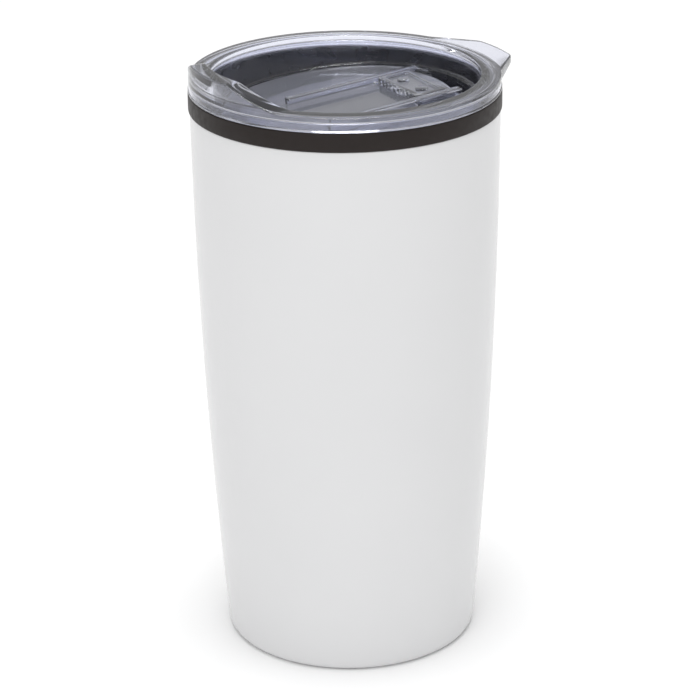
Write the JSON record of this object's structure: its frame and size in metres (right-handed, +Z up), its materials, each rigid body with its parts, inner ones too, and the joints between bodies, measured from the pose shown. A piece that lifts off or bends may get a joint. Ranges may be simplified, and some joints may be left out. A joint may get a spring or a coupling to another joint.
{
  "type": "insulated tumbler with slide lid",
  "caption": "Double-walled white tumbler with a dark neck collar and a clear push-on lid that has a sliding closure, a tab on one side and a raised lip on the other.",
  "frame": {"origin": "centre of the foot, on the surface the tumbler stands on", "axes": "+Z up along the body's axis, +X towards the lid's tab and drinking slot, -X towards its raised lip"},
  "size_m": [0.0948, 0.0888, 0.1764],
  "materials": {
    "white_shell": "gloss white coat on drawn steel",
    "bare_steel": "spun bare stainless steel",
    "foot_rubber": "matte non-slip pad",
    "black_plastic": "moulded black polypropylene",
    "grey_silicone": "soft silicone",
    "collar_plastic": "satin warm black plastic",
    "clear_plastic": "clear moulded plastic with a faint blue cast",
    "clear_silicone": "translucent silicone",
    "slider_plastic": "clear moulded plastic"
  },
  "bodies": {
    "body": {"outer_shell": "white_shell", "base_plate": "bare_steel", "foot_pad": "foot_rubber", "inner_liner": "black_plastic", "air_gap_seal": "grey_silicone", "neck_collar": "collar_plastic"},
    "lid": {"lid_body": "clear_plastic", "lid_seal": "clear_silicone"},
    "slide_closure": {"slider": "slider_plastic"}
  },
  "joints": [
    {"name": "lid_lift", "type": "slide", "parent": "body", "child": "lid", "axis": [0, 0, 1], "range_m": [0, 0.04]},
    {"name": "slider_slide", "type": "slide", "parent": "lid", "child": "slide_closure", "axis": [0.9968, 0, 0.0797], "range_m": [0, 0.0068]}
  ]
}
